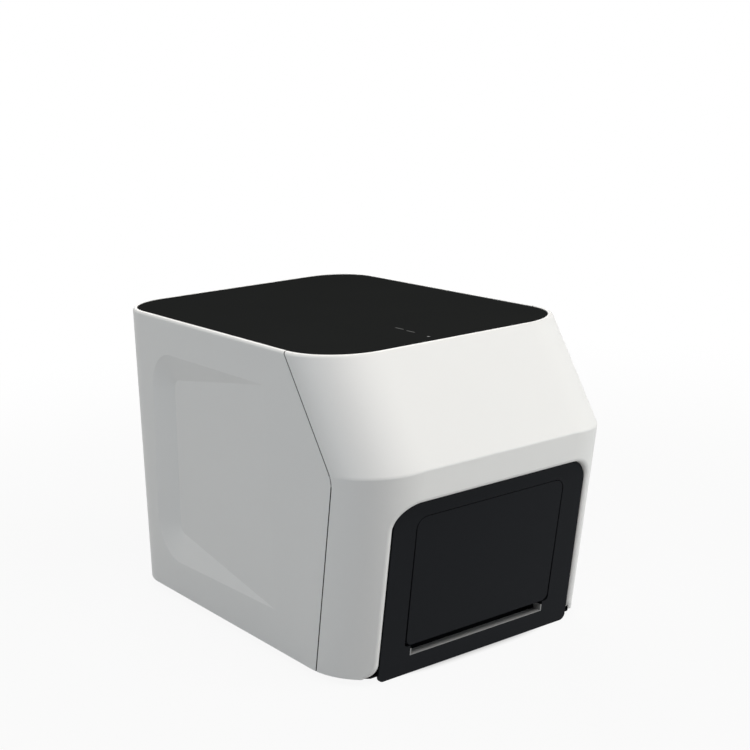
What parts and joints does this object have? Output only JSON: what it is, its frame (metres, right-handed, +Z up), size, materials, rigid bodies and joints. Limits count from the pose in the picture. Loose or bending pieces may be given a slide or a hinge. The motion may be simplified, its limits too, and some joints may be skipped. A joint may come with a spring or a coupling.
{
  "type": "thermal cycler",
  "caption": "Bench-top real-time thermal cycler: white two-shell housing with a sloping front, black top plate and fascia, and a motor drawer with a well block under a heated lid.",
  "frame": {"origin": "centre of the footprint, on the surface that the feet stand on", "axes": "+Z up, the front with the drawer faces -Y, +X to the right seen from the front"},
  "size_m": [0.35, 0.5248, 0.352],
  "materials": {
    "white_shell": "satin moulded polymer, warm white",
    "black_plate": "satin black",
    "black_panel": "fine satin black",
    "grey_trim": "satin moulded polymer, light grey",
    "window": "translucent grey, flush",
    "pan": "black powder coat",
    "foot_rubber": "matt black rubber",
    "panel_metal": "grey powder coat",
    "zinc": "zinc-plated sheet",
    "steel": "ground steel",
    "aluminium": "machined",
    "anodised_black": "black anodised",
    "brass": "machined",
    "connector": "black moulded",
    "board": "green laminate",
    "component": "black moulded",
    "white_ceramic": "white alumina",
    "block_metal": "plated, bright",
    "glass": "polished",
    "filter_glass": "coloured interference glass",
    "belt": "black toothed rubber",
    "grey_plastic": "moulded grey"
  },
  "bodies": {
    "housing": {"rear_casing": "white_shell", "front_cover": "white_shell", "top_plate": "black_plate", "indicator_windows": "window", "front_fascia": "black_panel", "slot_liner": "grey_trim", "base_pan": "pan", "rubber_feet": "foot_rubber", "rear_panel": "panel_metal", "panel_screws": "steel", "power_inlet": "connector", "switch_frame": "connector", "data_ports": "steel", "side_plates": "zinc", "lid_bridge": "zinc", "outer_slide_rails": "steel", "drawer_motor": "steel", "drive_brackets": "zinc", "guide_rods": "steel", "lid_motor": "component", "lid_belt": "belt", "scan_belt": "belt", "scan_motor": "component", "power_supply": "zinc", "main_board": "board", "board_standoffs": "brass", "board_components": "component", "exhaust_fan_frame": "component"},
    "power_switch": {"power_rocker": "connector"},
    "exhaust_fan": {"exhaust_fan_rotor": "component"},
    "drawer": {"drawer_front": "black_panel", "drawer_tray": "zinc", "inner_slide_rails": "steel", "drawer_rack": "steel", "well_block": "block_metal", "block_frame": "grey_plastic", "peltier_modules": "white_ceramic", "heat_sink": "aluminium", "sink_brackets": "zinc", "sink_fan_frame": "component"},
    "sink_fan": {"sink_fan_rotor": "component"},
    "pinion": {"drive_pinion": "brass"},
    "heated_lid": {"heater_plate": "aluminium", "lid_carrier": "aluminium", "lid_nuts": "brass", "lid_bushes": "brass"},
    "left_screw": {"left_lead_screw": "steel", "left_screw_pulley": "aluminium"},
    "right_screw": {"right_lead_screw": "steel", "right_screw_pulley": "aluminium"},
    "lid_pulley": {"lid_drive_pulley": "aluminium"},
    "scan_head": {"scan_carriage": "anodised_black", "objective_lenses": "glass", "detector_housing": "anodised_black", "light_source": "aluminium", "belt_clamp": "aluminium"},
    "filters": {"filter_wheel": "anodised_black", "colour_filters": "filter_glass"},
    "scan_drive": {"scan_drive_pulley": "aluminium"},
    "scan_idler": {"scan_idler_pulley": "aluminium"}
  },
  "joints": [
    {"name": "drawer_slide", "type": "slide", "parent": "housing", "child": "drawer", "axis": [0, -1, 0], "range_m": [0, 0.17]},
    {"name": "pinion_spin", "type": "hinge", "parent": "housing", "child": "pinion", "pos_m": [-0.075, -0.165, 0.031], "axis": [1, 0, 0], "range_deg": [0, 1090]},
    {"name": "sink_fan_spin", "type": "hinge", "parent": "drawer", "child": "sink_fan", "pos_m": [0, -0.052, 0.076], "axis": [0, 1, 0], "continuous": true},
    {"name": "lid_lift", "type": "slide", "parent": "housing", "child": "heated_lid", "axis": [0, 0, -1], "range_m": [0, 0.01]},
    {"name": "left_screw_spin", "type": "hinge", "parent": "housing", "child": "left_screw", "pos_m": [-0.09, -0.062, 0.19], "axis": [0, 0, 1], "range_deg": [0, 455]},
    {"name": "right_screw_spin", "type": "hinge", "parent": "housing", "child": "right_screw", "pos_m": [0.09, -0.062, 0.19], "axis": [0, 0, 1], "range_deg": [0, 455]},
    {"name": "lid_pulley_spin", "type": "hinge", "parent": "housing", "child": "lid_pulley", "pos_m": [0, -0.02, 0.215], "axis": [0, 0, 1], "range_deg": [0, 455]},
    {"name": "scan_slide", "type": "slide", "parent": "housing", "child": "scan_head", "axis": [1, 0, 0], "range_m": [-0.0495, 0.0495]},
    {"name": "filter_wheel_spin", "type": "hinge", "parent": "scan_head", "child": "filters", "pos_m": [0, -0.12, 0.27], "axis": [0, 0, 1], "continuous": true},
    {"name": "scan_drive_spin", "type": "hinge", "parent": "housing", "child": "scan_drive", "pos_m": [-0.086, -0.048, 0.251], "axis": [0, 1, 0], "range_deg": [-450, 450]},
    {"name": "scan_idler_spin", "type": "hinge", "parent": "housing", "child": "scan_idler", "pos_m": [0.086, -0.048, 0.251], "axis": [0, 1, 0], "range_deg": [-450, 450]},
    {"name": "exhaust_fan_spin", "type": "hinge", "parent": "housing", "child": "exhaust_fan", "pos_m": [0.062, 0.246, 0.128], "axis": [0, 1, 0], "continuous": true},
    {"name": "power_switch_rock", "type": "hinge", "parent": "housing", "child": "power_switch", "pos_m": [-0.096, 0.2579, 0.096], "axis": [1, 0, 0], "range_deg": [0, 16]}
  ],
  "couplings": [
    {"joint": "pinion_spin", "follows": "drawer_slide", "rad_per_m": 111.11},
    {"joint": "left_screw_spin", "follows": "lid_lift", "rad_per_m": 785.4},
    {"joint": "right_screw_spin", "follows": "lid_lift", "rad_per_m": 785.4},
    {"joint": "lid_pulley_spin", "follows": "lid_lift", "rad_per_m": 785.4},
    {"joint": "scan_drive_spin", "follows": "scan_slide", "rad_per_m": -156.25},
    {"joint": "scan_idler_spin", "follows": "scan_slide", "rad_per_m": -156.25}
  ]
}
